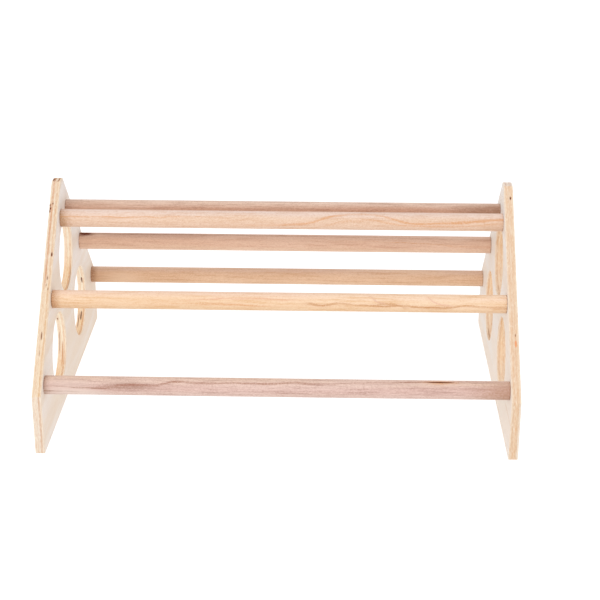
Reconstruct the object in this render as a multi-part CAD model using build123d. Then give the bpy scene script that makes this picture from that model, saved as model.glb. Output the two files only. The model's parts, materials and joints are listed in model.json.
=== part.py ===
from build123d import *
import os

# A free-standing bird perch stand: two plywood side panels joined by six round wooden
# perches. A countersunk wood screw goes through the panel into each end of each perch.
# Millimetres. X runs along the perches, -Y is the front and +Z is up. The origin is the
# middle of the footprint, on the surface that the stand rests on.

# Side panels
PANEL_THICKNESS = 9.5
PANEL_DEPTH = 356.0
PANEL_HEIGHT = 235.5
SHOULDER_HEIGHT = 64.0  # where the upright ends turn into the 45 degree slopes
CORNER_RADIUS = 3.0  # corners of the outline
ARRIS_RADIUS = 0.6  # sanded edges of both faces

# Round cut-outs: one under the ridge and one each side below it
CUTOUT_RADIUS = 40.0
UPPER_CUTOUT_HEIGHT = 150.0
LOWER_CUTOUT_HEIGHT = 68.0
LOWER_CUTOUT_OFFSET = 68.0

# Perches: each row has one in front of the middle plane and one behind it
PERCH_LENGTH = 470.0
PERCH_RADIUS = 9.5
PERCH_END_RADIUS = 0.4
PERCH_ROWS = {  # row: distance from the middle plane, height of the axis
    "top": (16.5, 198.0),
    "middle": (88.5, 134.0),
    "lower": (154.5, 67.0),
}

# Countersunk wood screws
SCREW_LENGTH = 32.0
SCREW_SHANK_RADIUS = 2.1
SCREW_HEAD_RADIUS = 4.1
SCREW_RIM = 0.3  # straight rim of the head above its 90 degree cone
SCREW_POINT_LENGTH = 5.0
SCREW_POINT_RADIUS = 0.3
SCREW_HEAD_SET_IN = 0.3  # depth of the head's face below the panel's outer face
RECESS_LENGTH = 4.4
RECESS_WIDTH = 0.9
RECESS_DEPTH = 1.5


def panel_outline():
    """The panel's outline with its cut-outs, drawn with Y across and Z up."""
    half_depth = PANEL_DEPTH / 2
    half_ridge = half_depth - (PANEL_HEIGHT - SHOULDER_HEIGHT)
    corners = [
        (-half_depth, 0),
        (half_depth, 0),
        (half_depth, SHOULDER_HEIGHT),
        (half_ridge, PANEL_HEIGHT),
        (-half_ridge, PANEL_HEIGHT),
        (-half_depth, SHOULDER_HEIGHT),
    ]
    outline = Polygon(*corners, align=None)
    outline = fillet(outline.vertices(), CORNER_RADIUS)
    outline -= Pos(0, UPPER_CUTOUT_HEIGHT) * Circle(CUTOUT_RADIUS)
    for side in (-1, 1):
        outline -= Pos(side * LOWER_CUTOUT_OFFSET, LOWER_CUTOUT_HEIGHT) * Circle(CUTOUT_RADIUS)
    return outline


def perch_places():
    """The node name, Y and Z of each perch."""
    places = []
    for row, (offset, height) in PERCH_ROWS.items():
        places.append((f"front_{row}_perch", -offset, height))
        places.append((f"rear_{row}_perch", offset, height))
    return places


def screw_body():
    """A screw along +X with its head's face at x = 0, and no recess. The shank is smooth."""
    neck = SCREW_RIM + SCREW_HEAD_RADIUS - SCREW_SHANK_RADIUS
    half_section = Polygon(
        (0, 0),
        (0, SCREW_HEAD_RADIUS),
        (SCREW_RIM, SCREW_HEAD_RADIUS),
        (neck, SCREW_SHANK_RADIUS),
        (SCREW_LENGTH - SCREW_POINT_LENGTH, SCREW_SHANK_RADIUS),
        (SCREW_LENGTH, SCREW_POINT_RADIUS),
        (SCREW_LENGTH, 0),
        align=None,
    )
    return revolve(half_section, axis=Axis.X)


def screw_hole():
    """What a screw fills, with the shallow counterbore above its set-in head."""
    x_above = -SCREW_HEAD_SET_IN / 2
    above_head = Pos(x_above, 0, 0) * Rot(0, 90, 0) * Cylinder(SCREW_HEAD_RADIUS, SCREW_HEAD_SET_IN)
    return screw_body() + above_head


def wood_screw():
    """A screw with its cross recess."""
    slot = Box(2 * RECESS_DEPTH, RECESS_LENGTH, RECESS_WIDTH)
    return screw_body() - slot - Rot(90, 0, 0) * slot


def at_left_end(shape, y, z):
    """Moves a screw shape to a perch axis, with its head in the left panel's outer face."""
    x_head = -PERCH_LENGTH / 2 - PANEL_THICKNESS + SCREW_HEAD_SET_IN
    return Pos(x_head, y, z) * shape


def at_right_end(shape, y, z):
    """The same at the right panel, pointing inwards."""
    return mirror(at_left_end(shape, y, z), about=Plane.YZ)


def left_panel():
    """The left side panel, with a screw hole at each perch."""
    inner_face = Plane.YZ.offset(-PERCH_LENGTH / 2)
    panel = extrude(inner_face * panel_outline(), amount=-PANEL_THICKNESS)
    panel = fillet(panel.faces().filter_by(Axis.X).edges(), ARRIS_RADIUS)
    for _, y, z in perch_places():
        panel -= at_left_end(screw_hole(), y, z)
    return panel


def perch(y, z):
    """A round perch with eased ends and a screw hole in each."""
    rod = Rot(0, 90, 0) * Cylinder(PERCH_RADIUS, PERCH_LENGTH)
    rod = Pos(0, y, z) * fillet(rod.edges().filter_by(GeomType.CIRCLE), PERCH_END_RADIUS)
    return rod - at_left_end(screw_hole(), y, z) - at_right_end(screw_hole(), y, z)


def screw_group(place):
    """The six screws of one panel, each put at its perch by the function place."""
    return Compound(children=[place(wood_screw(), y, z) for _, y, z in perch_places()])


def write_node(name, shape):
    """One STEP file for each node."""
    shape.label = name
    export_step(shape, f"parts/{name}.step")


os.makedirs("parts", exist_ok=True)
write_node("left_side_panel", left_panel())
write_node("right_side_panel", mirror(left_panel(), about=Plane.YZ))
for name, y, z in perch_places():
    write_node(name, perch(y, z))
write_node("left_panel_screws", screw_group(at_left_end))
write_node("right_panel_screws", screw_group(at_right_end))
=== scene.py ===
import json
import math

import bmesh
import bpy
from mathutils import Matrix, Vector, geometry, noise


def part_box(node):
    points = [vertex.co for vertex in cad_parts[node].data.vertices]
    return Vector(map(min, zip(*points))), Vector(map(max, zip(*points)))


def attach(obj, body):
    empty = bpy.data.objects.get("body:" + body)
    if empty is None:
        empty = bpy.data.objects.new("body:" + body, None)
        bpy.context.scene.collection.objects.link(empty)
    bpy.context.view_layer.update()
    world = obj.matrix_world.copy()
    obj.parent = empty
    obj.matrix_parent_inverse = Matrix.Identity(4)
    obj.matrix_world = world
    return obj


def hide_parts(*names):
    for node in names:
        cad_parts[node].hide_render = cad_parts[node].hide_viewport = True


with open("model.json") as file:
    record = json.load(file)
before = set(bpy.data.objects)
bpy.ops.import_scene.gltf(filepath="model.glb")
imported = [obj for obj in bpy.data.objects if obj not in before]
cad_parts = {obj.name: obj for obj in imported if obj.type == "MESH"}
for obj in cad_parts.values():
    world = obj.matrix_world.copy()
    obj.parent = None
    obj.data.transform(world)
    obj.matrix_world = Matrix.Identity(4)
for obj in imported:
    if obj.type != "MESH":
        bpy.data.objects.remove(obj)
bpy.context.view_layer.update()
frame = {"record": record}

MM = 0.001

# ---- sizes

ARRIS_RADIUS = 0.6 * MM
CORNER_RADIUS = 3.0 * MM
SHOULDER_HEIGHT = 64.0 * MM
CUTOUT_RADIUS = 40.0 * MM
PERCH_RADIUS = 9.5 * MM
PLY_LINES = (0.16, 0.35, 0.60, 0.81)  # glue lines, as shares of the thickness from the inner face
PERCHES = [f"{x}_{y}_perch" for y in ("top", "middle", "lower") for x in ("front", "rear")]

panel_low, panel_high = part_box("right_side_panel")
INNER_FACE_MM = round(panel_low.x / MM, 3)  # distance of the panels' inner faces from the middle
THICKNESS_MM = round((panel_high.x - panel_low.x) / MM, 3)


def middle_of(node):
    low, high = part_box(node)
    return (low + high) / 2


def cutout_centres(side):
    """The Y and Z of the panel's three round cut-outs, from the openings in the record."""
    found = {}
    for opening in frame["record"]["physics"]["openings"]:
        if opening["name"].startswith(side) and opening["name"].endswith("cutout_middle"):
            low, high = opening["box_m"]
            found[opening["name"].split("_")[1]] = ((low[1] + high[1]) / 2, (low[2] + high[2]) / 2)
    return found


# ---- mesh helpers


def linked(name, data):
    made = bpy.data.objects.new(name, data)
    bpy.context.scene.collection.objects.link(made)
    return made


def new_object(name, vertices, faces, materials, sharp_degrees, kinds=(), hollow=()):
    """A smooth mesh object with outward normals, and with edges that are sharper kept sharp.

    kinds is the material's place in the list for each face, and hollow is how far into a gap
    or crack each vertex lies, for the material to darken as painted shade, and as bark in one chip.
    """
    mesh = bpy.data.meshes.new(name)
    mesh.from_pydata(vertices, [], faces)
    for material in materials:
        mesh.materials.append(material)
    if kinds:
        mesh.polygons.foreach_set("material_index", kinds)
    work = bmesh.new()
    work.from_mesh(mesh)
    bmesh.ops.recalc_face_normals(work, faces=work.faces)
    work.to_mesh(mesh)
    work.free()
    mesh.shade_smooth()
    mesh.set_sharp_from_angle(angle=math.radians(sharp_degrees))
    if hollow:
        layer = mesh.attributes.new("hollow", "FLOAT", "POINT")
        layer.data.foreach_set("value", hollow)
    return linked(name, mesh)


def add_rings(vertices, faces, rings):
    """Adds a skin over rings of points. A ring of one point closes an end."""
    starts = []
    for ring in rings:
        starts.append(len(vertices))
        vertices += ring
    for here, there, ring, following in zip(starts, starts[1:], rings, rings[1:]):
        count = max(len(ring), len(following))
        for k in range(count):
            j = (k + 1) % count
            if len(ring) == 1:
                faces.append((here, there + k, there + j))
            elif len(following) == 1:
                faces.append((here + k, here + j, there))
            else:
                faces.append((here + k, here + j, there + j, there + k))


def dent(along, across, length, width, steepness):
    """How far into an elliptical dent a point lies, from 0 at its rim to 1."""
    inside = 1 - math.hypot(along / (length * MM / 2), across / (width * MM / 2))
    return max(0.0, min(1.0, inside * steepness))


def rounded_outline(corners, radius, step):
    """Points round a closed convex outline with rounded corners, each with its outward normal."""
    points = []
    count = len(corners)
    for index in range(count):
        before = Vector(corners[index - 1])
        corner = Vector(corners[index])
        after = Vector(corners[(index + 1) % count])
        way_in = (corner - before).normalized()
        way_out = (after - corner).normalized()
        turn = way_in.angle(way_out)
        tangent = radius * math.tan(turn / 2)
        start = corner - way_in * tangent
        normal_in = Vector((way_in.y, -way_in.x))
        normal_out = Vector((way_out.y, -way_out.x))
        centre = start - normal_in * radius
        arc_steps = max(2, math.ceil(radius * turn / (step / 2)))
        for k in range(arc_steps + 1):
            normal = normal_in.slerp(normal_out, k / arc_steps)
            points.append((centre + normal * radius, normal))
        run_start = centre + normal_out * radius
        next_turn = way_out.angle((Vector(corners[(index + 2) % count]) - after).normalized())
        run_end = after - way_out * radius * math.tan(next_turn / 2)
        run_steps = max(1, round((run_end - run_start).length / step))
        for k in range(1, run_steps):
            points.append((run_start.lerp(run_end, k / run_steps), normal_out))
    return points


def circle(centre, radius, steps):
    """Points round a hole, each with the normal that points out of the wood, into the hole."""
    points = []
    for k in range(steps):
        angle = math.tau * k / steps
        outward = Vector((math.cos(angle), math.sin(angle)))
        points.append((centre + outward * radius, -outward))
    return points


def arris(radius):
    """How far a rounded edge drops and draws in at each of five points round it."""
    turns = [math.radians(90) * k / 4 for k in range(5)]
    return [(radius * (1 - math.cos(turn)), radius * (1 - math.sin(turn))) for turn in turns]


# ---- material nodes


def tone(code):
    """A screen colour, written as six hex digits, as linear RGBA."""
    linear = []
    for value in bytes.fromhex(code):
        share = value / 255
        linear.append(share / 12.92 if share <= 0.04045 else ((share + 0.055) / 1.055) ** 2.4)
    return (*linear, 1.0)


class Graph:
    """Builds the nodes of a material or the world. Most methods give back an output socket.

    A value may be a socket, a number, a vector or a colour as six hex digits.
    """

    def __init__(self, owner, colour):
        owner.use_nodes = True
        self.owner = owner
        self.colour = colour
        self.tree = owner.node_tree
        shaders = ("BSDF_PRINCIPLED", "BACKGROUND")
        self.shader = next(node for node in self.tree.nodes if node.type in shaders)

    def put(self, socket, value):
        if isinstance(value, bpy.types.NodeSocket):
            self.tree.links.new(value, socket)
        else:
            socket.default_value = tone(value) if isinstance(value, str) else value

    def add(self, kind, inputs, output=0, **settings):
        made = self.tree.nodes.new("ShaderNode" + kind)
        for key, value in settings.items():
            setattr(made, key, value)
        for key, value in inputs.items():
            self.put(made.inputs[key], value)
        return made.outputs[output]

    def math(self, operation, a, b=0.0, c=0.0, clamp=False):
        return self.add("Math", {0: a, 1: b, 2: c}, operation=operation, use_clamp=clamp)

    def plus(self, a, b, clamp=False):
        return self.math("ADD", a, b, clamp=clamp)

    def minus(self, a, b):
        return self.math("SUBTRACT", a, b)

    def times(self, a, b):
        return self.math("MULTIPLY", a, b)

    def times_plus(self, a, b, c):
        return self.math("MULTIPLY_ADD", a, b, c)

    def absolute(self, a):
        return self.math("ABSOLUTE", a)

    def distance(self, a, b):
        """The length of a flat vector with the parts a and b."""
        return self.math("SQRT", self.times_plus(a, a, self.times(b, b)))

    def scaled(self, vector, factors):
        return self.add("VectorMath", {0: vector, 1: factors}, operation="MULTIPLY")

    def moved(self, vector, offset):
        return self.add("VectorMath", {0: vector, 1: offset}, operation="ADD")

    def parts(self, vector):
        return tuple(self.add("SeparateXYZ", {0: vector}).node.outputs)

    def noise(self, vector, factors, detail=2.0, roughness=0.5, distortion=0.0):
        """Noise of the vector times the factors. A small factor stretches it along that axis."""
        inputs = {
            "Vector": self.scaled(vector, factors),
            "Scale": 1.0,
            "Detail": detail,
            "Roughness": roughness,
            "Distortion": distortion,
        }
        return self.add("TexNoise", inputs)

    def ramp(self, value, stops):
        """Colours or grey levels along a value. Each stop is (place, level or colour)."""
        made = self.add("ValToRGB", {0: value})
        band = made.node.color_ramp
        while len(band.elements) < len(stops):
            band.elements.new(1.0)
        for element, (place, level) in zip(band.elements, stops):
            element.position = place
            element.color = tone(level) if isinstance(level, str) else (level, level, level, 1.0)
        return made

    def step(self, value, start, end, low=0.0, high=1.0):
        """A smooth step from low to high as the value goes from start to end."""
        inputs = {0: value, 1: start, 2: end, 3: low, 4: high}
        return self.add("MapRange", inputs, interpolation_type="SMOOTHSTEP")

    def curve(self, value, points):
        """A smooth curve through (place, height) points, all from 0 to 1."""
        made = self.add("FloatCurve", {"Value": value})
        mapping = made.node.mapping
        line = mapping.curves[0]
        for place, height in points[1:-1]:
            line.points.new(place, height)
        line.points[0].location = points[0]
        line.points[-1].location = points[-1]
        mapping.update()
        return made

    def paint(self, colour, mask):
        """Lays a colour over the one so far, as strongly as the mask says."""
        inputs = {0: mask, 6: self.colour, 7: colour}
        self.colour = self.add("Mix", inputs, output=2, data_type="RGBA")

    def paint_step(self, colour, value, start, end, amount=1.0):
        """Paints where the value has gone from start to end."""
        self.paint(colour, self.step(value, start, end, 0.0, amount))

    def place_mm(self):
        """The point's place in the stand, in millimetres."""
        coordinates = self.add("TexCoord", {}, output=3)
        return self.scaled(coordinates, (1000, 1000, 1000))

    def hollow(self):
        """How far into a gap or crack the point lies, from new_object: the mask for painted shade
        there.
        """
        return self.add("Attribute", {}, output=2, attribute_name="hollow")

    def shade(self, inputs):
        for key, value in inputs.items():
            self.put(self.shader.inputs[key], value)

    def finish(self, roughness, height, bump, specular):
        """Links the colour, roughness and bump height, in metres, to the shader."""
        relief = {"Strength": 1.0, "Distance": bump, "Height": height}
        inputs = {
            "Base Color": self.colour,
            "Roughness": roughness,
            "Specular IOR Level": specular,
            "Normal": self.add("Bump", relief),
        }
        self.shade(inputs)
        return self.owner


def material_graph(name, colour):
    return Graph(bpy.data.materials.new(name), colour)


# ---- plywood

VEINS = "cba784"
GLUE = "ba8e6c"
GAP_SHADE = "84421e"
DUSTY = "e4d0b8"
DARK_STREAK = "d0a078"
PALE_STREAK = "eadcca"
DARK_TEAR = "cc9468"
PALE_TEAR = "f0e4d4"
JOINT_SOFTNESS = 0.014  # half width of a joint between two plies, as a share of the thickness
GLUE_WIDTH = 0.016  # half width of a glue line, as a share of the thickness
INNER_SIDE_MM = (INNER_FACE_MM + 6.0, INNER_FACE_MM + 4.0)  # where a panel's inner face takes over


def veneer_material(name, pale, warm, veins=()):
    """Sanded face veneer, warmer low down, with its grain along Y, faint bands and fibres.

    Each vein is a darker streak in the inner face: its height, and where it starts and ends.
    """
    graph = material_graph(name, pale)
    place = graph.place_mm()
    x, y, z = graph.parts(place)

    def grain(across, along, **settings):
        return graph.noise(place, (across, along, across), **settings)

    bands = grain(0.035, 0.004, detail=3, distortion=0.6)
    figure = grain(0.16, 0.008, detail=4, distortion=1.2)
    fibres = grain(1.6, 0.05, detail=3, roughness=0.65)
    pores = grain(3.2, 0.25, detail=1)
    low_down = graph.step(z, 190, 40, -0.25, 0.35)
    graph.paint(warm, graph.plus(graph.step(bands, 0.35, 0.65), low_down, clamp=True))
    graph.paint_step(warm, figure, 0.52, 0.70, 0.35)
    graph.paint_step(VEINS, fibres, 0.50, 0.75, 0.20)
    graph.paint_step(VEINS, pores, 0.66, 0.76, 0.14)
    inner = graph.step(graph.absolute(x), *INNER_SIDE_MM)
    for height, start, end in veins:
        away = graph.absolute(graph.times_plus(figure, 1.5, graph.minus(z, height)))
        vein = graph.times(graph.step(away, 0.2, 1.1, 0.65, 0.0), graph.step(y, start, end))
        graph.paint(VEINS, graph.times(vein, inner))
    roughness = graph.step(fibres, 0.3, 0.8, 0.52, 0.68)
    height = graph.times_plus(pores, 0.5, fibres)
    return graph.finish(roughness, height, 0.00012, specular=0.25)


def across_plies(graph, share, paints):
    """The five plies' tones across the thickness, from the inner face, with soft joints."""
    bounds = [0.0, *PLY_LINES, 1.0]
    stops = []
    for start, end, paint in zip(bounds, bounds[1:], paints):
        stops += [(start + JOINT_SOFTNESS, paint), (end - JOINT_SOFTNESS, paint)]
    return graph.ramp(share, stops)


def glue_lines(graph, share):
    stops = []
    for line in PLY_LINES:
        stops += [(line - GLUE_WIDTH, 0.0), (line, 1.0), (line + GLUE_WIDTH, 0.0)]
    return graph.ramp(share, stops)


def ply_edge_material(name, paints, facing, marks=()):
    """A cut through five plies, with glue lines, torn fibres and gaps between the veneers, the gaps
    darkened with painted shade.

    paints are the plies' tones where the cut faces no special way. facing holds more of them,
    each with where they take over: an axis and a range of the surface normal along it, or
    "height" and a range of millimetres. Each mark is a spot: its middle, size and tone.
    """
    graph = material_graph(name, None)
    place = graph.place_mm()
    x, _, z = graph.parts(place)
    taken_from = dict(zip("xyz", graph.parts(graph.add("NewGeometry", {}, output=1))), height=z)
    wander = graph.noise(place, (0.05, 0.07, 0.07), detail=3, roughness=0.6)
    streaks = graph.noise(place, (1.2, 0.055, 0.055), detail=3, roughness=0.6)
    tears = graph.noise(place, (1.2, 0.24, 0.24), detail=3, roughness=0.7)
    patches = graph.noise(place, (0.25, 0.03, 0.03))
    depth = graph.minus(graph.absolute(x), INNER_FACE_MM)
    depth = graph.times_plus(graph.minus(wander, 0.5), 0.8, depth)
    share = graph.math("DIVIDE", depth, THICKNESS_MM)

    graph.colour = across_plies(graph, share, paints)
    for source, start, end, others in facing:
        graph.paint_step(across_plies(graph, share, others), taken_from[source], start, end)
    graph.paint_step(DUSTY, patches, 0.40, 0.70, 0.30)
    glue = graph.times(glue_lines(graph, share), graph.step(wander, 0.35, 0.6, 0.2, 0.75))
    graph.paint(GLUE, glue)
    graph.paint_step(DARK_STREAK, streaks, 0.52, 0.70, 0.40)
    graph.paint_step(PALE_STREAK, streaks, 0.48, 0.30, 0.42)
    graph.paint_step(DARK_TEAR, tears, 0.54, 0.66, 0.42)
    graph.paint_step(PALE_TEAR, tears, 0.46, 0.34, 0.50)
    for middle, size, paint in marks:
        away = graph.moved(place, tuple(-c for c in middle))
        away = graph.scaled(away, tuple(2 / s for s in size))
        distance = graph.add("VectorMath", {0: away}, output=1, operation="LENGTH")
        distance = graph.times_plus(tears, 0.8, distance)
        graph.paint(paint, graph.step(distance, 1.0, 1.4, 0.9, 0.0))
    # Painted shade inside the gaps in the veneers, darker deeper in the gap.
    hollow = graph.hollow()
    broken = graph.step(tears, 0.2, 0.5, 0.8, 1.1)
    graph.paint(GAP_SHADE, graph.math("MULTIPLY", hollow, broken, clamp=True))
    roughness = graph.plus(graph.step(streaks, 0.3, 0.8, 0.62, 0.78), hollow, clamp=True)
    return graph.finish(roughness, graph.plus(streaks, tears), 0.0002, specular=0.12)


# ---- turned wood

BARK_AND_CRACK_SHADE = "642605"
END_GRAIN_AND_JOINT_SHADE = "a07050"
LOWEST_DEGREES = -120.0  # the range of angles that a growth line's path may use
HIGHEST_DEGREES = 150.0
WOBBLE_DEGREES = 26.0
PERCH_END_MM = (INNER_FACE_MM - 1.2, INNER_FACE_MM - 0.2)  # where a perch's end grain shows, painted darker also as shade in the joint with the panel
RING_PROFILE = [(0, 0), (0.55, 0.12), (0.85, 0.75), (0.94, 1), (1, 0)]


def degrees_round(width):
    """The angle that a width in millimetres takes up round a perch."""
    return math.degrees(width * MM / PERCH_RADIUS)


def grain_line(graph, share, degrees, width, path, strengths):
    """A growth line along a perch, as a mask. Its points start with the percent of the length."""
    reach = HIGHEST_DEGREES - LOWEST_DEGREES
    path = graph.curve(share, [(p / 100, (d - LOWEST_DEGREES) / reach) for p, d in path])
    path = graph.times_plus(path, reach, LOWEST_DEGREES)
    away = graph.absolute(graph.minus(degrees, path))
    mask = graph.step(away, 0.0, degrees_round(width), 1.0, 0.0)
    return graph.times(mask, graph.curve(share, [(p / 100, s) for p, s in strengths]))


def patch(graph, x, degrees, at, length, width):
    """A soft-edged stretch of a perch, centred at (x, angle), as a mask."""
    along = graph.math("DIVIDE", graph.minus(x, at[0]), length / 2)
    across = graph.math("DIVIDE", graph.minus(degrees, at[1]), degrees_round(width / 2))
    return graph.step(graph.distance(along, across), 0.2, 1.1, 1.0, 0.0)


def growth_rings(graph, x, y, z, bend, pith, gap):
    """Rings round the tree's pith, from 0 to 1, which rise slowly and drop sharply."""
    off_y, off_z, slope_y, slope_z = pith
    from_y = graph.plus(y, graph.times_plus(x, slope_y, -off_y))
    from_z = graph.plus(z, graph.times_plus(x, slope_z, -off_z))
    radius = graph.times_plus(bend, gap * 5.0, graph.distance(from_z, from_y))
    ring = graph.math("FRACT", graph.math("DIVIDE", radius, gap))
    return graph.curve(ring, RING_PROFILE)


def perch_material(
    name, seed, paints, pith, ring_gap, ring_strength, fleck, lines=(), patches=()
):
    """Bare turned wood. Its fibres run along the perch, and growth rings cut its surface.

    The paints are its pale, usual and dark wood, and the tones of its upper and lower sides,
    which mix the wood's own tone with painted sheen and shade.
    fleck is how strongly the short flecks of its pores stand out.
    """
    pale, base, deep, upper, lower = paints
    graph = material_graph(name + "_finish", base)
    middle = middle_of(name) / MM
    place = graph.moved(graph.place_mm(), (0.0, -middle.y, -middle.z))
    x, y, z = graph.parts(place)
    degrees = graph.times(graph.math("ARCTAN2", z, graph.times(y, -1.0)), math.degrees(1))
    share = graph.times_plus(x, 0.5 / INNER_FACE_MM, 0.5)

    shifted = graph.moved(place, (seed * 61.0, seed * 17.0, seed * 29.0))

    def wood_noise(along, across, **settings):
        return graph.noise(shifted, (along, across, across), **settings)

    slow = wood_noise(0.006, 0.05)
    bend = wood_noise(0.011, 0.03)
    streaks = wood_noise(0.022, 0.50, detail=4, roughness=0.6)
    fibres = wood_noise(0.09, 1.5, detail=3, roughness=0.65)
    flecks = wood_noise(0.34, 1.0, detail=3, roughness=0.7)
    specks = wood_noise(0.65, 1.2, roughness=0.7)
    wobble = wood_noise(0.045, 0.3, detail=3, roughness=0.65)
    ring = growth_rings(graph, x, y, z, bend, pith, ring_gap)
    ring = graph.times(ring, graph.step(streaks, 0.25, 0.7, 0.35, 1.0))

    turned = graph.times_plus(graph.minus(slow, 0.5), 60.0, degrees)
    # Side tones by angle round the perch, mixing the wood's own tone with painted light: a painted
    # sheen on top of the front perches, painted light on top of the rear top perch and painted
    # shade under it, and painted shade on top of the rear middle and rear lower perches.
    graph.paint_step(upper, turned, 15, 70)
    graph.paint_step(lower, turned, 10, -35)
    graph.paint_step(pale, slow, 0.40, 0.68, 0.6)
    graph.paint_step(deep, streaks, 0.48, 0.70, 0.6)
    graph.paint(deep, graph.times(ring, ring_strength))
    graph.paint_step(deep, fibres, 0.50, 0.72, fleck + 0.1)
    for marks in (flecks, specks):
        graph.paint_step(deep, marks, 0.52, 0.68, fleck)
        graph.paint_step(pale, marks, 0.48, 0.32, fleck)

    uneven = graph.times_plus(graph.minus(wobble, 0.5), WOBBLE_DEGREES, degrees)
    broken = graph.step(specks, 0.34, 0.60, 0.5, 1.1)
    # Some patches are painted shade, marked where they are listed; the others are the wood's own
    # marks.
    for at, length, width, amount, paint in patches:
        mask = patch(graph, x, uneven, at, length, width)
        graph.paint(paint, graph.times(mask, graph.times(broken, amount)))
    for width, paint, path, strengths in lines:
        mask = grain_line(graph, share, uneven, width, path, strengths)
        graph.paint(paint, graph.times(mask, broken))
    # End grain on the eased end, painted darker also as the shade in the joint with the panel.
    end = graph.step(graph.absolute(x), *PERCH_END_MM)
    graph.paint(END_GRAIN_AND_JOINT_SHADE, graph.times(end, graph.step(specks, 0.40, 0.60, 0.0, 0.9)))
    hollow = graph.hollow()
    # Bark in the rear middle perch's chip, and painted shade inside the front lower perch's crack,
    # darker further into the hollow.
    graph.paint_step(BARK_AND_CRACK_SHADE, hollow, 0.05, 0.45)
    roughness = graph.plus(graph.step(fibres, 0.25, 0.8, 0.50, 0.68), hollow, clamp=True)
    height = graph.times_plus(ring, 0.5, graph.plus(fibres, flecks))
    return graph.finish(roughness, height, 0.00012, specular=0.2)


# ---- steel


def steel_material():
    """Zinc-plated steel with drawn marks and dull patches."""
    graph = material_graph("zinc_plate", "c4c4c0")
    place = graph.place_mm()
    cloud = graph.noise(place, (0.8, 0.8, 0.8), detail=3)
    scratches = graph.noise(place, (9.0, 2.0, 2.0), detail=3, roughness=0.7)
    graph.paint_step("a0a3a6", cloud, 0.35, 0.65)
    graph.paint_step("787a7c", scratches, 0.55, 0.75, 0.4)
    roughness = graph.step(cloud, 0.3, 0.7, 0.24, 0.42)
    graph.shade({"Metallic": 1.0})
    return graph.finish(roughness, scratches, 0.00004, specular=0.5)


# ---- side panels

GLUE_GROOVE = 0.06 * MM
GLUE_HALF_WIDTH = 0.15 * MM
SUPPORT = 0.8 * MM  # width of the flat border between a face's arris and its middle
EDGE_STEP = 1.25 * MM
PLY_STEP = 0.42 * MM
ROUGHNESS = 0.03 * MM  # of the cut edges
FACE_GRID = 12 * MM
GRID_ROW = 0.87 * FACE_GRID
GRID_COLUMNS = range(-16, 17)
GAP_STEEPNESS = 4.0
SCREW_HEAD_RADIUS = 4.1 * MM
SCREW_SHANK_RADIUS = 2.1 * MM
SCREW_CLEARANCE = 0.1 * MM
SCREW_SET_IN = 0.3 * MM
SCREW_RIM = 0.3 * MM
SCREW_HOLE_STEPS = 40
FACE, EDGE, CUTOUT = range(3)  # the panel's materials, in order


def edge_rows(thickness):
    """Depth from the inner face and inset of each row of points across a panel's edge."""
    rows = [(0.0, ARRIS_RADIUS + SUPPORT), *arris(ARRIS_RADIUS)]
    lines = [share * thickness for share in PLY_LINES]
    stops = [ARRIS_RADIUS]
    for line in lines:
        stops += [line - GLUE_HALF_WIDTH, line, line + GLUE_HALF_WIDTH]
    stops.append(thickness - ARRIS_RADIUS)
    for before, after in zip(stops, stops[1:]):
        parts = max(1, math.ceil((after - before) / PLY_STEP))
        for k in range(1, parts + 1):
            depth = before + (after - before) * k / parts
            on_line = any(abs(depth - line) < 1e-7 for line in lines)
            rows.append((depth, GLUE_GROOVE if on_line else 0.0))
    outer = [(thickness - depth, inset) for depth, inset in reversed(rows[:5])]
    return rows + outer


def screw_rows(thickness):
    """Depth from the inner face and radius down a countersunk screw hole."""
    wide = SCREW_HEAD_RADIUS + SCREW_CLEARANCE
    narrow = SCREW_SHANK_RADIUS + SCREW_CLEARANCE
    cone_top = thickness - SCREW_SET_IN - SCREW_RIM
    cone_bottom = cone_top - wide + narrow
    return [
        (0.0, narrow),
        (cone_bottom / 2, narrow),
        (cone_bottom, narrow),
        (cone_top, wide),
        (thickness, wide),
    ]


def gap_share(point, depth, gaps):
    """How far into a gap in the veneers this point of an edge lies, from 0 to 1, and the push."""
    share = 0.0
    push = 0.0
    for y, z, at, length, width, deep in gaps:
        along = math.hypot(point.x - y * MM, point.y - z * MM)
        here = dent(along, depth - at * MM, length, width, GAP_STEEPNESS)
        share = max(share, here * min(1.0, deep))
        push = max(push, here * deep * MM)
    return share, push


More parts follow.
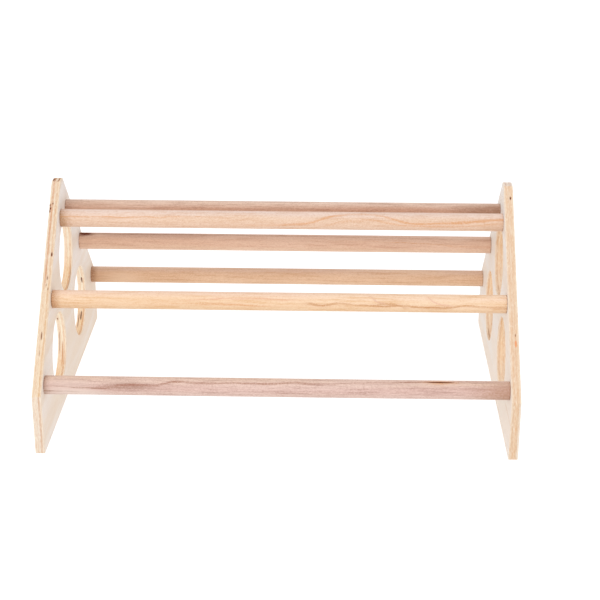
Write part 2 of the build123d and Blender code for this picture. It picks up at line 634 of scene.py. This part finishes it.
class Panel:
    """One plywood panel's mesh: its edges are cut through five plies, with grooves and gaps."""

    def __init__(self, name, side, gaps):
        low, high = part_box(name)
        self.side = side
        self.gaps = gaps
        self.thickness = high.x - low.x
        self.inner = min(abs(low.x), abs(high.x))
        self.height = high.z
        half_depth = (high.y - low.y) / 2
        half_ridge = half_depth - (self.height - SHOULDER_HEIGHT)
        self.corners = [
            (-half_depth, 0.0),
            (half_depth, 0.0),
            (half_depth, SHOULDER_HEIGHT),
            (half_ridge, self.height),
            (-half_ridge, self.height),
            (-half_depth, SHOULDER_HEIGHT),
        ]
        centres = cutout_centres("left" if side < 0 else "right").values()
        self.cutouts = [(Vector(centre), CUTOUT_RADIUS) for centre in centres]
        self.screws = [(Vector(middle_of(perch).yz), SCREW_HEAD_RADIUS) for perch in PERCHES]
        self.vertices = []
        self.hollow = []
        self.faces = []
        self.kinds = []
        self.borders = ([], [])

    def add_loop(self, points, rows, kind, solid=False):
        """The skin across the thickness, round the outline or a hole. solid leaves out gaps."""
        first = len(self.vertices)
        rings = []
        for depth, inset in rows:
            x = self.side * (self.inner + depth)
            ring = []
            for point, normal in points:
                share = push = rough = 0.0
                if not solid:
                    share, push = gap_share(point, depth, self.gaps)
                    spot = Vector((depth, point.x, point.y)) / MM * 0.7
                    rough = noise.noise(spot) * ROUGHNESS
                if depth <= 0 or depth >= self.thickness:
                    rough = push = 0.0
                place = point - normal * (inset + push + rough)
                ring.append((x, place.x, place.y))
                self.hollow.append(share)
            rings.append(ring)
        add_rings(self.vertices, self.faces, rings)
        last_row = len(rows) - 1
        for row in range(last_row):
            on_face = not solid and row in (0, 1, last_row - 2, last_row - 1)
            self.kinds += [FACE if on_face else kind] * len(points)
        self.borders[0].append(range(first, first + len(points)))
        self.borders[1].append(range(len(self.vertices) - len(points), len(self.vertices)))

    def is_clear(self, point, margin):
        """True if a point is at least margin inside the outline and outside the holes."""
        for before, after in zip(self.corners[-1:] + self.corners[:-1], self.corners):
            way = (Vector(after) - Vector(before)).normalized()
            offset = point - Vector(before)
            if way.x * offset.y - way.y * offset.x < margin:
                return False
        holes = self.cutouts + self.screws
        return all((point - centre).length > radius + margin for centre, radius in holes)

    def fill_face(self, loops):
        """Triangles across one face, between its border loops and an even grid of points."""
        index_of = []
        loop_of = []
        edges = []
        for number, loop in enumerate(loops):
            start = len(index_of)
            edges += [(start + k, start + (k + 1) % len(loop)) for k in range(len(loop))]
            index_of += loop
            loop_of += [number] * len(loop)
        flat = [Vector(self.vertices[i][1:]) for i in index_of]
        plane = self.vertices[index_of[0]][0]
        for row in range(int(self.height / GRID_ROW) + 1):
            for column in GRID_COLUMNS:
                spot = Vector(((column + row % 2 / 2) * FACE_GRID, row * GRID_ROW))
                if self.is_clear(spot, FACE_GRID / 2):
                    index_of.append(len(self.vertices))
                    loop_of.append(-1)
                    self.vertices.append((plane, spot.x, spot.y))
                    self.hollow.append(0.0)
                    flat.append(spot)
        _, _, triangles, from_points, _, _ = geometry.delaunay_2d_cdt(flat, edges, [], 1, 1e-7)
        for triangle in triangles:
            original = [from_points[k][0] for k in triangle]
            on_loops = {loop_of[k] for k in original}
            if len(on_loops) > 1 or on_loops <= {-1, 0}:
                self.faces.append(tuple(index_of[k] for k in original))
                self.kinds.append(FACE)


def side_panel(name, side, gaps, materials):
    panel = Panel(name, side, gaps)
    rows = edge_rows(panel.thickness)
    panel.add_loop(rounded_outline(panel.corners, CORNER_RADIUS, EDGE_STEP), rows, EDGE)
    for centre, radius in panel.cutouts:
        steps = round(math.tau * radius / EDGE_STEP)
        panel.add_loop(circle(centre, radius, steps), rows, CUTOUT)
    for centre, _ in panel.screws:
        points = circle(centre, 0.0, SCREW_HOLE_STEPS)
        panel.add_loop(points, screw_rows(panel.thickness), EDGE, solid=True)
    for loops in panel.borders:
        panel.fill_face(loops)
    lists = (panel.kinds, panel.hollow)
    made = new_object(name + "_wood", panel.vertices, panel.faces, materials, 35, *lists)
    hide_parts(name)
    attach(made, "root")


# ---- perches

PERCH_END_RADIUS = 0.4 * MM
PERCH_SEGMENTS = 96
PERCH_STEP = 3.0 * MM
FINE_STEP = 0.5 * MM
FINE_ARC = 0.12 * MM
CRACK_STEEPNESS = 2.0
PILOT_RADIUS = 2.2 * MM  # the screw's hole in the end of a perch
PILOT_DEPTH = 23.0 * MM
PILOT_POINT = 5.3 * MM
PILOT_TIP_RADIUS = 0.4 * MM
PILOT_TIP_LENGTH = 0.2 * MM


def spread(low, high, step, fine):
    """Values from low to high, a step apart, and closer together in the fine ranges."""
    count = math.ceil((high - low) / step)
    values = {round(low + (high - low) * k / count, 7) for k in range(count + 1)}
    for start, end, fine_step in fine:
        inside = max(1, math.ceil((end - start) / fine_step))
        values |= {round(start + (end - start) * k / inside, 7) for k in range(inside + 1)}
    ordered = []
    for value in sorted(v for v in values if low <= v <= high):
        if not ordered or value - ordered[-1] > 1e-5:
            ordered.append(value)
    return ordered


def crack_share(x, angle, cracks):
    """How far into a crack or chip this point of a perch lies, from 0 to 1, and its depth there."""
    share = 0.0
    push = 0.0
    for at, degrees, length, width, deep in cracks:
        across = (angle - math.radians(degrees)) * PERCH_RADIUS
        here = dent(x - at * MM, across, length, width, CRACK_STEEPNESS)
        share = max(share, here)
        push = max(push, here * deep * MM)
    return share, push


def perch_grid(half, cracks):
    """The places along a perch and round it where its skin has points, denser at cracks."""
    fine_x = []
    fine_angle = []
    for at, degrees, length, width, _ in cracks:
        fine_x.append(((at - length / 2) * MM, (at + length / 2) * MM, FINE_STEP))
        reach = width * 0.7 * MM / PERCH_RADIUS
        centre = math.radians(degrees)
        fine_angle.append((centre - reach, centre + reach, FINE_ARC / PERCH_RADIUS))
    end = half - PERCH_END_RADIUS
    along = spread(-end, end, PERCH_STEP, fine_x)[1:-1]
    round_it = spread(-math.pi, math.pi, math.tau / PERCH_SEGMENTS, fine_angle)[:-1]
    return along, round_it


def perch_end(face, inwards):
    """Place along X and radius of each ring, from the pilot hole's bottom to the perch's side."""
    rows = [
        (face + inwards * PILOT_DEPTH, 0.0),
        (face + inwards * (PILOT_DEPTH - PILOT_TIP_LENGTH), PILOT_TIP_RADIUS),
        (face + inwards * (PILOT_DEPTH - PILOT_POINT), PILOT_RADIUS),
        (face + inwards * PILOT_DEPTH / 2, PILOT_RADIUS),
        (face, PILOT_RADIUS),
        (face, PERCH_RADIUS * 0.6),
    ]
    for drop, inset in arris(PERCH_END_RADIUS):
        rows.append((face + inwards * drop, PERCH_RADIUS - inset))
    return rows


def unevenness(x, away, seed):
    """How far a perch's skin stands out of true: long waves, fine fibres and a little shrinkage."""
    waves = noise.noise(Vector((x / MM * 0.02, away.x * 1.3 + seed * 7.0, away.y * 1.3)))
    fibres = noise.noise(Vector((x / MM * 0.05, away.x * 14.0 + seed * 7.0, away.y * 14.0)))
    return (waves * 0.06 + fibres * 0.015 - 0.05) * MM


def perch_ring(x, radius, middle, angles, cracks, seed):
    """One ring of points round a perch, and how far into a crack each of them lies."""
    ring = []
    shares = []
    for angle in angles:
        away = Vector((-math.cos(angle), math.sin(angle)))
        share = push = wave = 0.0
        if radius > PERCH_RADIUS - PERCH_END_RADIUS:
            share, push = crack_share(x, angle, cracks)
            wave = unevenness(x, away, seed)
        reach = radius - push + wave
        ring.append((x, middle.y + away.x * reach, middle.z + away.y * reach))
        shares.append(share)
    return ring, shares


def perch(name, cracks, material, slot, seed):
    """A turned round perch: slightly uneven, with eased ends, pilot holes and any cracks."""
    low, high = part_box(name)
    middle = (low + high) / 2
    half = (high.x - low.x) / 2
    along, angles = perch_grid(half, cracks)
    side = [(x, PERCH_RADIUS) for x in along]
    rings = []
    hollow = []
    for x, radius in perch_end(-half, 1) + side + perch_end(half, -1)[::-1]:
        ring, shares = [(x, middle.y, middle.z)], [0.0]
        if radius > 0:
            ring, shares = perch_ring(x, radius, middle, angles, cracks, seed)
        rings.append(ring)
        hollow += shares
    vertices = []
    faces = []
    add_rings(vertices, faces, rings)
    made = new_object(name + "_wood", vertices, faces, [material], 50, hollow=hollow)
    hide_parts(name)
    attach(made, "root")


# ---- screws

SCREW_LENGTH = 32.0 * MM
SCREW_NECK = 7.0 * MM  # from the head's face to the first thread
SCREW_POINT = 5.0 * MM
NECK_RADIUS = 0.9 * SCREW_SHANK_RADIUS
HEAD_RADIUS = SCREW_HEAD_RADIUS - 0.02 * MM
HEAD_ARRIS = 0.1 * MM
THREAD_PITCH = 1.8 * MM
THREAD_ROOT = 1.35 * MM
THREAD_CREST = 0.98 * SCREW_SHANK_RADIUS
THREAD_STEPS = 8  # rows of points to each turn of the thread
RECESS_HALF_LENGTH = 2.2 * MM
RECESS_HALF_WIDTH = 0.45 * MM
RECESS_DEPTH = 1.5 * MM
RECESS_FLOOR = 0.55  # size of the recess's floor compared with its mouth
FIRST_TWIST = 0.35
NEXT_TWIST = 0.61


def cross_radius(angle, half_length, half_width):
    """Distance from the middle of a plus shape to its outline, in this direction."""
    turned = abs((angle + math.pi / 4) % (math.pi / 2) - math.pi / 4)
    corner = math.atan2(half_width, half_length)
    if turned <= corner:
        return half_length / math.cos(turned)
    return half_width / math.sin(turned)


def thread_height(depth, angle):
    """How proud the thread stands, from 0 to 1, at this depth and angle of the shank."""
    turns = (depth / THREAD_PITCH - angle / math.tau) % 1.0
    return max(0.0, 1 - abs(turns - 0.5) * 4.5) ** 0.8


def screw_angles():
    """The angles of a screw's points, with some at the corners of its cross recess."""
    corner = math.atan2(RECESS_HALF_WIDTH, RECESS_HALF_LENGTH)
    offsets = (-corner, -corner / 2, corner / 2, corner, 0.5, math.pi / 4, math.pi / 2 - 0.5)
    return [quarter * math.pi / 2 + offset for quarter in range(4) for offset in offsets]


def screw_rings(head_x, y, z, inwards, twist):
    """Rings of points of one wood screw, from the middle of its recess to its point."""
    angles = screw_angles()

    def ring(depth, radius_at):
        x = head_x + inwards * depth
        points = []
        for angle in angles:
            reach = radius_at(angle)
            turned = angle + twist
            points.append((x, y + reach * math.cos(turned), z + reach * math.sin(turned)))
        return points

    def cross(size):
        return lambda a: cross_radius(a, RECESS_HALF_LENGTH * size, RECESS_HALF_WIDTH * size)

    rings = [
        [(head_x + inwards * RECESS_DEPTH, y, z)],
        ring(RECESS_DEPTH, cross(RECESS_FLOOR)),
        ring(HEAD_ARRIS, cross(0.97)),
        ring(0.0, cross(1.05)),
        ring(0.0, lambda a: SCREW_HEAD_RADIUS - 0.15 * MM),
        ring(HEAD_ARRIS, lambda a: HEAD_RADIUS),
        ring(SCREW_RIM, lambda a: HEAD_RADIUS),
        ring(SCREW_RIM + SCREW_HEAD_RADIUS - SCREW_SHANK_RADIUS, lambda a: NECK_RADIUS),
    ]
    step = THREAD_PITCH / THREAD_STEPS
    depth = SCREW_NECK
    while depth < SCREW_LENGTH - step:
        taper = min(1.0, (SCREW_LENGTH - depth) / SCREW_POINT)
        start = min(1.0, (depth - SCREW_NECK) / THREAD_PITCH)

        def radius_at(angle, depth=depth, taper=taper, start=start):
            proud = thread_height(depth, angle) * (THREAD_CREST - THREAD_ROOT)
            return (THREAD_ROOT + proud * start) * taper

        rings.append(ring(depth, radius_at))
        depth += step
    rings.append([(head_x + inwards * SCREW_LENGTH, y, z)])
    return rings


def screws(name, side, material):
    """The six countersunk wood screws of one panel, with threads and cross recesses."""
    low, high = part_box(name)
    head_x = low.x if side < 0 else high.x
    vertices = []
    faces = []
    for index, node in enumerate(PERCHES):
        middle = middle_of(node)
        twist = FIRST_TWIST + index * NEXT_TWIST
        add_rings(vertices, faces, screw_rings(head_x, middle.y, middle.z, -side, twist))
    made = new_object(name + "_steel", vertices, faces, [material], 35)
    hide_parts(name)
    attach(made, "root")


# ---- the stand


def cutout_gap(side, hole, start, end, at, width, deep):
    """A gap that follows the wall of a cut-out between two angles, counted from +Y to +Z."""
    centre = Vector(cutout_centres(side)[hole])
    middle = math.radians((start + end) / 2)
    y, z = (centre + CUTOUT_RADIUS * Vector((math.cos(middle), math.sin(middle)))) / MM
    length = 2 * CUTOUT_RADIUS / MM * math.sin(math.radians(abs(end - start)) / 2)
    return (y, z, at, length, width, deep)


# Gaps in the veneers: Y, Z, depth from the inner face, length, width and depth of the gap.
LEFT_GAPS = [
    (0.5, 235.5, 8.3, 9, 1.8, 1),
    (2, 235.5, 2.8, 6, 1.2, 0.6),
    (-26.3, 215.7, 8.7, 3, 1.5, 0.8),
    (-28.8, 213.2, 8.1, 3.6, 1.8, 1.1),
    (-31.3, 210.7, 8.5, 3, 1.6, 0.9),
    (-25, 217, 5.9, 2.6, 1.5, 0.9),
    (-66.8, 175.2, 2.3, 4.4, 1.9, 1.2),
    (-85.7, 156.3, 4.6, 5, 1.2, 0.7),
    (-91.3, 150.7, 5, 3, 1.2, 0.5),
    (-94.5, 147.5, 3, 3, 1.2, 0.6),
    (-131.2, 110.8, 5.1, 10, 1.4, 0.7),
    (-144.5, 97.5, 5.6, 8, 1.1, 0.4),
    cutout_gap("left", "upper", -30, -96, 1.3, 0.8, 0.45),
    cutout_gap("left", "rear", 21, 9, 4, 1.6, 1.4),
    cutout_gap("left", "rear", -39, -57, 5, 1.5, 1.4),
    cutout_gap("left", "rear", -39, -76, 7.3, 0.8, 0.8),
    cutout_gap("left", "front", 28, 32, 7.3, 1.4, 1),
    cutout_gap("left", "front", 8, -35, 7.4, 0.8, 0.5),
]
RIGHT_GAPS = [
    (-16.9, 225.1, 6.6, 3.4, 2, 1.1),
    (-126.4, 115.6, 6.2, 3, 1.4, 0.6),
    cutout_gap("right", "rear", -62, -93, 2.4, 1.2, 0.4),
    cutout_gap("right", "upper", -65, -78, 3, 1, 0.25),
]

CREAM = "dfcbb3"
PALE_CREAM = "ded0c0"
DULL_TAN = "d3b495"
ORANGE_BROWN = "cb9c7c"
PINK_TAN = "cdaf99"
END_BROWN = "b07c5a"

# The tones of the five plies, from the inner face out. The walls are those of the cut-outs.
LEFT_SLOPE = (CREAM, "d6b38e", "e3ceb2", "dfc6aa", "e1cbaf")
LEFT_HIGH_SLOPE = (CREAM, "d8b99a", CREAM, ORANGE_BROWN, CREAM)
LEFT_FRONT = (PALE_CREAM, PINK_TAN, PALE_CREAM, "ddccba", PALE_CREAM)
LEFT_TOP = (CREAM, END_BROWN, CREAM, END_BROWN, CREAM)
LEFT_WALL = ("ede0cd", "e9d0b3", "efe3cd", "ead3b8", "edddc8")
LEFT_WALL_LOW = ("ebd8c0", "d6a77e", "e8c9a0", "ebcba6", "e7c29a")
RIGHT_SLOPE = ("e2ceb8", "ddbc9d", "dec1a5", "ddbd9e", "e4ceb4")
RIGHT_FRONT = ("dac5ad", DULL_TAN, "dbbea0", DULL_TAN, PALE_CREAM)
RIGHT_TOP = ("e4d8cc", "d8c0b2", "e3d6ca", "d6c0b2", "e2d6cc")
RIGHT_WALL = ("e2ccb4", "dab088", "e6c49e", "e1bc96", "e9ccae")
RIGHT_WALL_LOW = ("e4ceb4", "dcbc9c", "e7ccaf", "dfc2a4", "e2c8ac")
LEFT_FACE = ("ede5df", "e7d7c6")
RIGHT_FACE = ("e1dbd6", "e1d4c7")
RIGHT_FACE_VEIN = (40, -118, -136)
LEFT_WALL_MARK = ((-239.2, -33, 45), (1.5, 30, 40), "c8906a")
RIGHT_EDGE_MARK = ((241.2, -133, 109), (2.6, 9, 9), "e29668")

left_facing = [
    ("height", 140, 162, LEFT_HIGH_SLOPE),
    ("y", -0.80, -0.97, LEFT_FRONT),
    ("z", 0.85, 0.98, LEFT_TOP),
]
right_facing = [("y", -0.80, -0.97, RIGHT_FRONT), ("z", 0.85, 0.98, RIGHT_TOP)]
left_low = [("z", 0.10, 0.90, LEFT_WALL_LOW)]
right_low = [("z", 0.10, 0.90, RIGHT_WALL_LOW)]

steel = steel_material()
left_wood = [
    veneer_material("plywood_face_left", *LEFT_FACE),
    ply_edge_material("plywood_edge_left", LEFT_SLOPE, left_facing),
    ply_edge_material("plywood_cutout_left", LEFT_WALL, left_low, [LEFT_WALL_MARK]),
]
right_wood = [
    veneer_material("plywood_face_right", *RIGHT_FACE, [RIGHT_FACE_VEIN]),
    ply_edge_material("plywood_edge_right", RIGHT_SLOPE, right_facing, [RIGHT_EDGE_MARK]),
    ply_edge_material("plywood_cutout_right", RIGHT_WALL, right_low),
]
side_panel("left_side_panel", -1, LEFT_GAPS, left_wood)
side_panel("right_side_panel", 1, RIGHT_GAPS, right_wood)
screws("left_panel_screws", -1, steel)
screws("right_panel_screws", 1, steel)

PALE_BROWN = "c28e64"
ORANGE_LINE = "d09668"
GREY_BROWN = "a07a68"
DARK_LINE = "8c6048"

# Growth lines: the width, the tone, the path as (percent of the length, degrees) points, and the
# strength as (percent of the length, strength) points.
FRONT_TOP_LINES = [
    (2.2, ORANGE_LINE,
     [(0, -60), (48, -18), (54, -7), (57.5, 12), (60, 38), (63.5, 57), (68, 70), (71.5, 60),
      (75.5, 30), (78, 14), (80, 5), (86, 7), (93, 20), (100, 38)],
     [(0, 0), (46, 0.3), (60, 0.8), (68, 0.5), (78, 0.8), (100, 0.9)]),
    (1.8, ORANGE_LINE,
     [(0, -80), (56, -40), (61, -8), (65, 16), (69, 24), (73, 12), (79, -12), (86, -14), (100, 10)],
     [(0, 0), (56, 0.2), (66, 0.3), (80, 0.5), (100, 0.3)]),
    (1.0, ORANGE_LINE, [(0, 28), (30, 34), (50, 40), (100, 60)],
     [(0, 0.7), (25, 0.6), (40, 0.05), (100, 0)]),
]
FRONT_MIDDLE_LINES = [
    (1.9, PALE_BROWN,
     [(0, 16), (50, 14), (57, 8), (59, 0), (61, 4), (63, 14), (65, 10), (69, 4), (73, 0), (76, 5),
      (80, -2), (85, -6), (88, -2), (90, 4), (93, 3), (100, -6)],
     [(0, 0), (54, 0.1), (59, 1), (64, 0.6), (72, 1), (78, 0.7), (83, 1), (91, 0.7), (100, 0.6)]),
    (1.4, PALE_BROWN, [(0, 20), (70, 8), (73.5, 15), (75.5, 10), (78, -8), (100, -20)],
     [(0, 0), (70, 0), (73, 0.8), (77, 0.7), (80, 0), (100, 0)]),
    (1.3, "cea092", [(0, 78), (69, 74), (70, 66), (71.2, 34), (73, 20), (100, 10)],
     [(0, 0), (69, 0), (70, 0.6), (72, 0.6), (74, 0), (100, 0)]),
    (1.8, "d8a892", [(0, 70), (81, 66), (82.5, 58), (84.5, 24), (86.5, 12), (89, 10), (100, 10)],
     [(0, 0), (81, 0), (83, 0.6), (86, 0.8), (89, 0), (100, 0)]),
    (1.6, "d69e82", [(0, 20), (28, 22), (36, 34), (46, 38), (56, 30), (100, 24)],
     [(0, 0), (26, 0.1), (38, 0.6), (50, 0.5), (58, 0), (100, 0)]),
    (1.8, ORANGE_LINE, [(0, 2), (20, -6), (35, 2), (50, -10), (100, -20)],
     [(0, 0), (15, 0.1), (30, 0.35), (42, 0.7), (50, 0.1), (100, 0)]),
]
REAR_MIDDLE_LINES = [
    (1.8, "966c54", [(0, 76), (30, 80), (50, 76), (70, 68), (100, 56)],
     [(0, 1), (20, 0.9), (40, 0.6), (60, 0.4), (100, 0.2)]),
    (0.7, ORANGE_LINE, [(0, 30), (72, 34), (85, 24), (92, 8), (100, 4)],
     [(0, 0.1), (70, 0.2), (80, 0.7), (92, 0.5), (100, 0.1)]),
]
FRONT_LOWER_LINES = [
    (2.0, "9e6c58",
     [(0, 32), (12, 18), (16, 25), (20, 34), (23.5, 28), (26, 42), (29, 58), (32, 50), (35, 45),
      (40, 51), (48, 48), (54, 58), (58, 51), (66, 60), (75, 70), (83, 77), (100, 78)],
     [(0, 0), (14, 0.2), (20, 0.9), (23.5, 0.5), (28.5, 0.9), (32, 0.5), (40, 0.7), (50, 0.8),
      (58, 0.6), (68, 0.4), (80, 0.7), (88, 0.4), (100, 0.1)]),
    (1.6, "966450", [(0, 4), (9, 4), (12, 8), (16, 0), (100, 0)],
     [(0, 0), (9, 0), (12, 0.7), (15, 0), (100, 0)]),
    (0.9, GREY_BROWN, [(0, 20), (10, 12), (20, 14), (30, 4), (100, 0)],
     [(0, 0.6), (12, 0.7), (20, 0.3), (30, 0), (100, 0)]),
    (0.8, DARK_LINE, [(0, -14), (20, -20), (100, -20)],
     [(0, 0.8), (6, 0.4), (15, 0), (100, 0)]),
]

# Each perch: its pale, usual, deep, upper-side and lower-side tones, where the pith lies (Y, Z and
# the slope of each along the perch), and the growth lines and patches that stand out on it. The
# side tones mix the wood's own tone with painted sheen and shade, and the patches marked below
# are painted shade. A patch is its middle (place along the perch, degrees), length, width, strength
# and tone.
PERCH_WOOD = {
    "front_top_perch": dict(
        paints=("e9d0c0", "dfc2aa", "ca9e7e", "e0cbc1", "dfc2ac"),
        fleck=0.48, pith=(9, -14, 0.012, 0.02), ring_gap=3.2, ring_strength=0.25,
        lines=FRONT_TOP_LINES,
        # Both patches are painted shade at the perch's ends, next to the side panels.
        patches=[((-237, -20), 32, 50, 1, "b48a66"), ((225, -30), 50, 12, 0.5, "cda88a")],
    ),
    "rear_top_perch": dict(
        # Its upper-side tone is painted light; its dark lower-side tone and first patch are painted
        # shade from the front top perch in front of it.
        paints=("dcbba5", "c59981", "a0745e", "e0c5b4", "ac826c"),
        fleck=0.34, pith=(-6, 12, 0.01, -0.01), ring_gap=3.6, ring_strength=0.2,
        patches=[((228, 20), 110, 28, 0.8, "9a725a"), ((-205, 45), 70, 12, 0.4, "ba927a")],
    ),
    "front_middle_perch": dict(
        paints=("eed4b8", "e7c8a8", "d2a06c", "ebcebb", "e5c5a3"),
        fleck=0.32, pith=(12, 10, -0.014, 0.012), ring_gap=4.2, ring_strength=0.22,
        lines=FRONT_MIDDLE_LINES,
        # The patch is painted shade at the left end, next to the left panel.
        patches=[((-237, 0), 26, 60, 1, "bc8c66")],
    ),
    "rear_middle_perch": dict(
        # Its darker upper-side tone is partly the wood's own, partly painted shade from the perches
        # above.
        paints=("ecceb8", "e5bfa6", "c4967c", "d0aa95", "e0bfa5"),
        fleck=0.34, pith=(8, -10, 0.008, 0.012), ring_gap=3.4, ring_strength=0.2,
        lines=REAR_MIDDLE_LINES,
        patches=[((-150, 72), 190, 14, 0.6, "ba9480"), ((-230, 76), 30, 10, 1, BARK_AND_CRACK_SHADE)],
    ),
    "front_lower_perch": dict(
        paints=("e2c8be", "d2b0a5", "a47c70", "dfc2ae", "d4b8ac"),
        fleck=0.38, pith=(-10, 8, 0.01, 0.014), ring_gap=3.0, ring_strength=0.3,
        lines=FRONT_LOWER_LINES,
        patches=[
            ((-150, 24), 80, 13, 0.55, "967060"),
            # Painted shade at the left end, next to the left panel.
            ((-237, 0), 18, 60, 0.9, "a07a66"),
            ((-205, -30), 90, 14, 0.8, "e0cec4"),
            ((-212, 5), 70, 30, 0.5, "dac4b8"),
            # Painted shade at the right end, next to the right panel.
            ((242, -10), 110, 46, 0.9, "b48c76"),
            ((165, 76), 46, 7, 1, "ce966c"),
        ],
    ),
    "rear_lower_perch": dict(
        # Its darker upper-side tone is partly the wood's own, partly painted shade from the perch
        # above.
        paints=("e6c5a8", "dcb696", "c29571", "d1af9c", "d8b392"),
        fleck=0.38, pith=(10, 6, -0.01, 0.01), ring_gap=3.8, ring_strength=0.2,
        # The first patch is painted shade at the left end, next to the left panel.
        patches=[((-236, 10), 22, 50, 0.9, "a87c5e"), ((-198, -5), 60, 22, 0.6, "e8c8ac")],
    ),
}
PALE_DOWELS = ("front_top_perch", "front_middle_perch", "rear_lower_perch")
# Cracks and chips: place along the perch, angle, length, width and depth.
PERCH_CRACKS = {
    "front_lower_perch": [(165, 77, 32, 1.8, 1.1)],
    "rear_middle_perch": [(-228, 79, 15, 4.4, 0.6)],
}

for seed, (perch_name, wood) in enumerate(PERCH_WOOD.items(), 1):
    dowel = "pale_dowel" if perch_name in PALE_DOWELS else "rosy_dowel"
    finish = perch_material(perch_name, seed, **wood)
    perch(perch_name, PERCH_CRACKS.get(perch_name, []), finish, dowel, seed)


# ---- studio

FLOOR_SIZE = 40.0
FLOOR_GREY = "888888"
FLOOR_PATCHES = "8a8a8a"
FLOOR_GLOW = 0.9
SOFTBOX_PLACE = (-0.8, -2.0, 1.6)
SOFTBOX_TARGET = (0, 0, 0.1)
SOFTBOX_SIZE = 1.0
SOFTBOX_POWER = 12.0
STUDIO_LIGHT = 1.0
BRIGHT_SIDE = (-0.12, -0.1, 0)  # where the studio's light is stronger, and by how much
WHITE = "ffffff"
CAMERA_PLACE = (0.05587, -1.51681, 0.72202)
CAMERA_YAW = math.radians(-1.36)
CAMERA_PITCH = math.radians(22.3)
CAMERA_ROLL = math.radians(0.15)
CAMERA_LENS = 89.6
CAMERA_SENSOR = 36.0


def floor():
    """A white surface, lit a little from within like a product photographer's light table."""
    graph = material_graph("white_floor", FLOOR_GREY)
    grain = graph.noise(graph.place_mm(), (0.02, 0.02, 0.02))
    graph.paint_step(FLOOR_PATCHES, grain, 0.3, 0.7)
    inputs = {
        "Base Color": graph.colour,
        "Roughness": 0.9,
        "Specular IOR Level": 0.0,
        "Emission Color": WHITE,
        "Emission Strength": FLOOR_GLOW,
    }
    graph.shade(inputs)
    half = FLOOR_SIZE / 2
    corners = [(-half, -half, 0), (half, -half, 0), (half, half, 0), (-half, half, 0)]
    mesh = bpy.data.meshes.new("floor")
    mesh.from_pydata(corners, [], [(0, 1, 2, 3)])
    mesh.materials.append(graph.owner)
    linked("floor", mesh)


def softbox():
    light = bpy.data.lights.new("key_softbox", "AREA")
    light.shape = "SQUARE"
    light.size = SOFTBOX_SIZE
    light.energy = SOFTBOX_POWER
    made = linked("key_softbox", light)
    made.location = SOFTBOX_PLACE
    made.rotation_mode = "QUATERNION"
    way = Vector(SOFTBOX_TARGET) - Vector(SOFTBOX_PLACE)
    made.rotation_quaternion = way.to_track_quat("-Z", "Y")


def camera():
    """The photograph's camera, from its place, the way it looks and its roll."""
    level = Vector((math.cos(CAMERA_YAW), -math.sin(CAMERA_YAW), 0.0))
    ahead = Vector((math.sin(CAMERA_YAW), math.cos(CAMERA_YAW), 0.0))
    forward = ahead * math.cos(CAMERA_PITCH) - Vector((0.0, 0.0, math.sin(CAMERA_PITCH)))
    above = level.cross(forward)
    right = math.cos(CAMERA_ROLL) * level + math.sin(CAMERA_ROLL) * above
    up = right.cross(forward)
    data = bpy.data.cameras.new("camera")
    data.lens = CAMERA_LENS
    data.sensor_width = CAMERA_SENSOR
    data.clip_start = 0.01
    data.clip_end = 50.0
    made = linked("camera", data)
    turned = Matrix((right, up, -forward)).transposed().to_4x4()
    made.matrix_world = Matrix.Translation(CAMERA_PLACE) @ turned
    bpy.context.scene.camera = made


def surroundings():
    """An even white studio, a little brighter on the left and in front than on the other sides."""
    world = bpy.data.worlds.new("studio")
    graph = Graph(world, WHITE)
    ways = {0: graph.add("TexCoord", {}), 1: BRIGHT_SIDE}
    towards = graph.add("VectorMath", ways, output=1, operation="DOT_PRODUCT")
    graph.shade({"Color": graph.colour, "Strength": graph.plus(towards, STUDIO_LIGHT)})
    bpy.context.scene.world = world
    bpy.context.scene.view_settings.view_transform = "Standard"


floor()
softbox()
camera()
surroundings()
